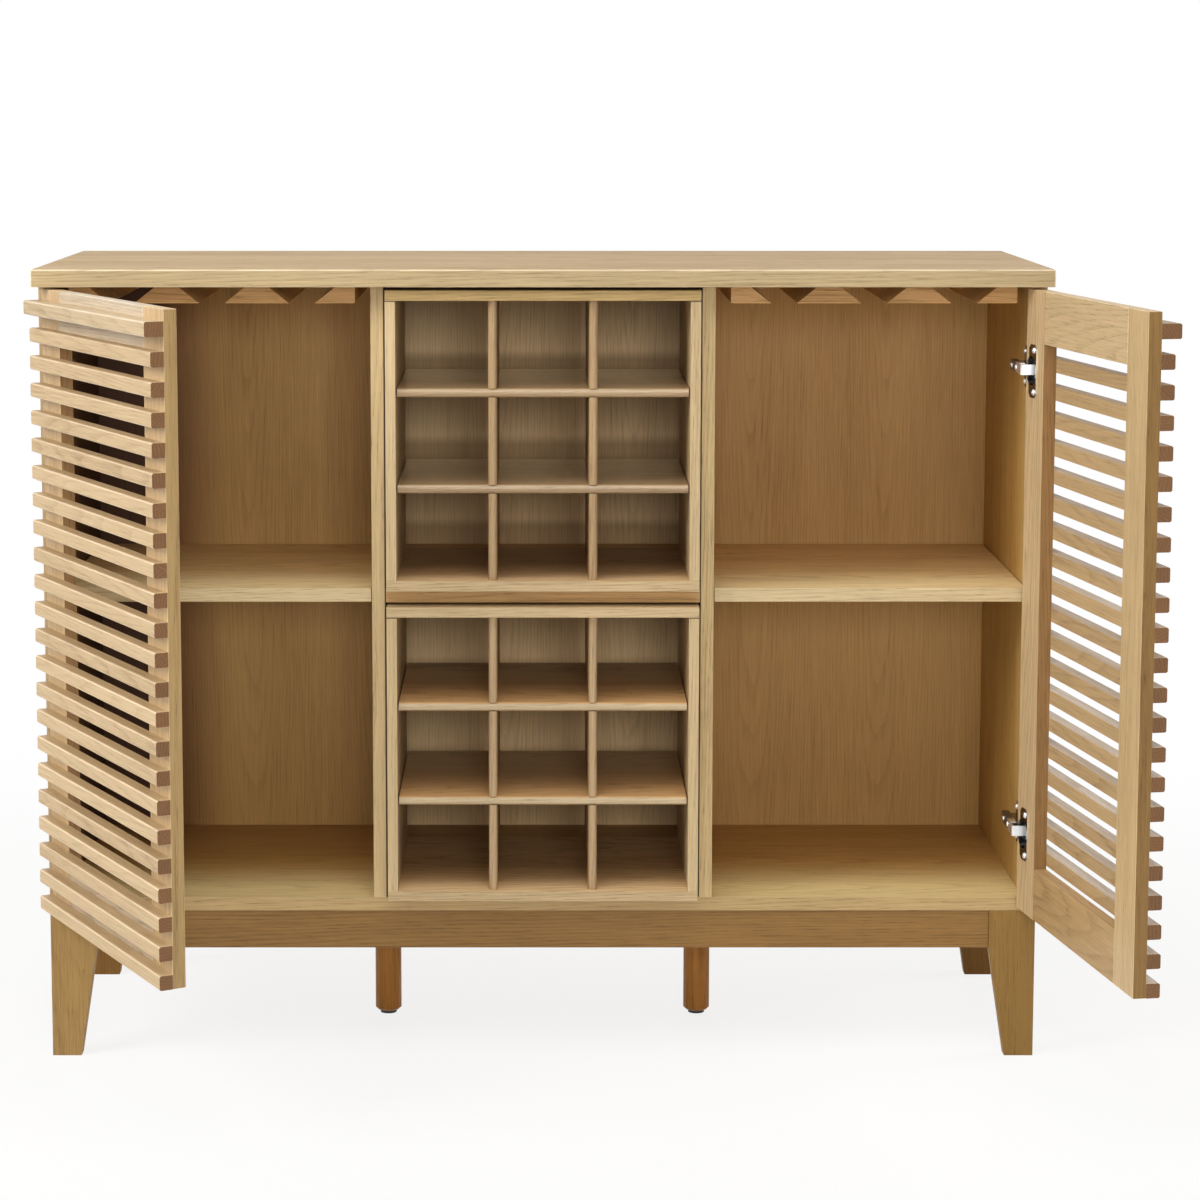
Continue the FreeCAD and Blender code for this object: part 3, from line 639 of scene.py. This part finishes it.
# Doors
# Door pieces get painted shade on their stiles' edges and on the right door's slats, and painted
# highlights on their eased edges
for side, door in DOORS.items():
    name, turn = side + "_door_", door["angle"]
    for piece, colour, tone in (("hinge_stile", OAK_DOOR, HINGE_STILE_EDGE_SHADE_TONE),
                                ("free_stile", door["stile"], door["edge"])):
        board(name + piece, colour, "ZY", DOOR_EASE, turn=turn, contrast=1.2, rub=0.5,
              sides=((door["free"], tone),))
    for piece in ("top_rail", "bottom_rail"):
        board(name + piece, door[piece], "XY", DOOR_EASE, turn=turn, contrast=1.1, wander=0.03,
              rub=0.7)
    for piece, colour, boards in (("slats", OAK_SLAT, ("Z", SLAT_PITCH)),
                                  ("pull_slat", OAK_PULL_SLAT, None)):
        board(name + piece, colour, "XY", 0, turn=turn, contrast=0.9, pore=0.6, boards=boards,
              rub=0.5, end_grain=True, sides=door["slat_shades"])

# Wine racks
# Painted light and shade on the racks' boards
for rack, tones in RACKS.items():
    board(rack + "top", OAK_RACK, "XZ", sides=((FRONT, tones["top"]),))
    board(rack + "bottom", OAK_RACK, "XZ", sides=((UP, tones["floor"]),),
          fades=(("Y", *RACK_FLOOR_FADE, RACK_FLOOR_FRONT_LIGHT_TONE, UP),))
    board(rack + "shelves", OAK_RACK_GRID, "XZ", 0, boards=("Z", SHELF_PITCH),
          lacquer=tones["lacquer"], sides=((UP, tones["shelf"]), (FRONT, tones["nose"])),
          fades=(("Y", *RACK_SHELF_FADE, tones["shelf_rear"], UP),))
    board(rack + "dividers", OAK_RACK_GRID, "ZX", 0, boards=("X", DIVIDER_PITCH),
          sides=((FRONT, tones["divider"]),))
    for piece in ("left_side", "right_side"):
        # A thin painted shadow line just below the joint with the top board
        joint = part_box(rack + "top")[0].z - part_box(rack + piece)[0].z
        start, end = (joint - drop for drop in JOINT_SHADOW_FADE)
        board(rack + piece, OAK_RACK, "ZX", fades=(("Z", start, end, JOINT_SHADOW_TONE, None),))

# Metal and plastic
chrome = steel("hinge_steel", CHROME)
nickel = steel("hinge_nickel", NICKEL)
pin_steel = steel("pin_steel", PIN_STEEL, PIN_STRETCH)
arm_low, arm_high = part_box("left_hinge_arms")
arm_length = arm_high.y - arm_low.y
shade_start, shade_end, shade_depth = ARM_SHADE
arm_chrome = steel("hinge_arm_steel", CHROME,
                   shade=(arm_low.y + shade_start * arm_length,
                          arm_low.y + shade_end * arm_length, shade_depth))
dressed("shelf_pins", pin_steel)
dressed("center_leg_glides", moulded("glide_plastic", PLASTIC_DARK, PLASTIC_PALE))


def screw_heads(name, spots, size, body):
    """Domed screw heads with a cross recess, each at a place with an outward direction."""
    shape = bmesh.new()
    radius, height = size
    angles = [2 * math.pi * i / HEAD_SIDES for i in range(HEAD_SIDES)]
    arm, half = CROSS_ARM * radius, CROSS_HALF_WIDTH * radius
    cross = ((arm, half), (half, half), (half, arm), (-half, arm), (-half, half), (-arm, half),
             (-arm, -half), (-half, -half), (-half, -arm), (half, -arm), (half, -half),
             (arm, -half))

    def loop(stand, points):
        return [shape.verts.new(stand @ Vector(point)) for point in points]

    def wall(lower, upper):
        for i in range(len(lower)):
            j = (i + 1) % len(lower)
            shape.faces.new((lower[i], lower[j], upper[j], upper[i]))

    for place, outward in spots:
        aim = Vector(outward).to_track_quat("Z", "Y").to_matrix().to_4x4()
        stand = Matrix.Translation(place) @ aim
        loops = []
        for wide, tall in HEAD_RINGS:
            reach = wide * radius
            loops.append(loop(stand, [(reach * math.cos(a), reach * math.sin(a), tall * height)
                                      for a in angles]))
        for lower, upper in zip(loops, loops[1:]):
            wall(lower, upper)
        rim = loop(stand, [(x, y, height) for x, y in cross])
        sunk = loop(stand, [(RECESS_TAPER * x, RECESS_TAPER * y, RECESS_FLOOR * height)
                            for x, y in cross])
        wall(rim, sunk)
        shape.faces.new(list(reversed(loops[0])))
        shape.faces.new(sunk)
        edges = [shape.edges.get(pair) for ring in (loops[-1], rim)
                 for pair in zip(ring, ring[1:] + ring[:1])]
        bmesh.ops.triangle_fill(shape, edges=edges, use_beauty=True)
    bmesh.ops.recalc_face_normals(shape, faces=shape.faces)
    mesh = bpy.data.meshes.new(name)
    shape.to_mesh(mesh)
    shape.free()
    thing = bpy.data.objects.new(name, mesh)
    scene.collection.objects.link(thing)
    mesh.materials.append(chrome)
    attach(thing, body)


# Hinges, with two screws in each cup flange, two in each mounting plate and two on each arm
for side, door in DOORS.items():
    inward = door["free"][0]
    pivot = Vector(joints[side + "_door_hinge"]["pos_m"])
    swing = Matrix.Rotation(door["angle"], 3, "Z")
    outward = swing @ Vector(REAR)
    lip = (tuple(swing @ Vector(door["free"])), tuple(outward),
           outward.dot(pivot) + PIVOT_TO_INNER_FACE)
    dressed(side + "_hinge_arms", arm_chrome)
    dressed(side + "_door_hinge_cups", steel(side + "_cup_nickel", NICKEL, lip=lip))
    dressed(side + "_hinge_plates", nickel)
    dressed(side + "_door_hinge_pins", pin_steel)

    flat = Vector((inward * (PIVOT_TO_CUP + CUP_SCREW_OFFSET), PIVOT_TO_INNER_FACE + FLANGE, 0))
    spot = Vector((pivot.x, pivot.y, 0)) + swing @ flat
    spots = [(spot + Vector((0, 0, z + step)), outward) for z in HINGE_HEIGHTS
             for step in (-CUP_SCREW_SPREAD, CUP_SCREW_SPREAD)]
    screw_heads(side + "_cup_screws", spots, CUP_SCREW, side + "_door")

    low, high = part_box(side + "_hinge_plates")
    wing_x = (low.x if inward > 0 else high.x) + inward * PLATE_WING
    plate_y = (low.y + high.y) / 2
    spots = [(Vector((wing_x, plate_y, z + step)), door["free"]) for z in HINGE_HEIGHTS
             for step in (-PLATE_SCREW_SPREAD, PLATE_SCREW_SPREAD)]
    screw_heads(side + "_plate_screws", spots, PLATE_SCREW, "carcass")

    low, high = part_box(side + "_hinge_arms")
    web_x = high.x if inward > 0 else low.x
    spots = [(Vector((web_x, high.y - setback, z)), door["free"]) for z in HINGE_HEIGHTS
             for setback in ARM_SCREW_SETBACKS]
    screw_heads(side + "_arm_screws", spots, ARM_SCREW, "carcass")

# Floor and world, white to the camera
floor_mesh = bpy.data.meshes.new("floor")
corners = [(x * FLOOR_REACH, y * FLOOR_REACH, 0) for x, y in ((-1, -1), (1, -1), (1, 1), (-1, 1))]
floor_mesh.from_pydata(corners, [], [(0, 1, 2, 3)])
floor = bpy.data.objects.new("floor", floor_mesh)
scene.collection.objects.link(floor)

paper = Shader(bpy.data.materials.new("floor_paper"))
distance = paper.vector("LENGTH", paper.add("TexCoord").outputs["Object"])
far = paper.ranged(distance, *FLOOR_BLEND, FLOOR_WHITE_NEAR, 1.0, smooth=True)
glow = paper.add("Emission", {"Color": WHITE, "Strength": 1.0}).outputs[0]
matte = paper.add("BsdfDiffuse", {"Color": FLOOR_GREY}).outputs[0]
whiteness = paper.math("MULTIPLY", far, paper.seen())
blend = paper.add("MixShader", {0: whiteness, 1: matte, 2: glow}).outputs[0]
paper.fill(paper.tree.nodes["Material Output"], {"Surface": blend})
floor_mesh.materials.append(paper.owner)

sky = Shader(bpy.data.worlds.new("studio"))
scene.world = sky.owner
ambient = sky.tree.nodes["Background"]
sky.fill(ambient, {"Color": AMBIENT_COLOUR, "Strength": AMBIENT_STRENGTH})
white = sky.add("Background", {"Color": WHITE, "Strength": 1.0}).outputs[0]
blend = sky.add("MixShader", {0: sky.seen(), 1: ambient.outputs[0], 2: white}).outputs[0]
sky.fill(sky.tree.nodes["World Output"], {"Surface": blend})

for name, place, aim, width, height, power in LAMPS:
    lamp = bpy.data.lights.new(name, "AREA")
    lamp.shape = "RECTANGLE"
    lamp.size, lamp.size_y = width, height
    lamp.energy = power
    thing = bpy.data.objects.new(name, lamp)
    thing.location = place
    thing.rotation_euler = (Vector(aim) - Vector(place)).to_track_quat("-Z", "Y").to_euler()
    thing.visible_camera = False
    scene.collection.objects.link(thing)

camera = bpy.data.cameras.new("camera")
camera.lens = LENS
camera.sensor_width = SENSOR
camera.shift_x = SHIFT_X
camera.shift_y = SHIFT_Y
viewer = bpy.data.objects.new("camera", camera)
viewer.location = CAMERA_PLACE
viewer.rotation_euler = (math.pi / 2 - LOOK_DOWN, 0, 0)
scene.collection.objects.link(viewer)
scene.camera = viewer
scene.view_settings.view_transform = "Standard"
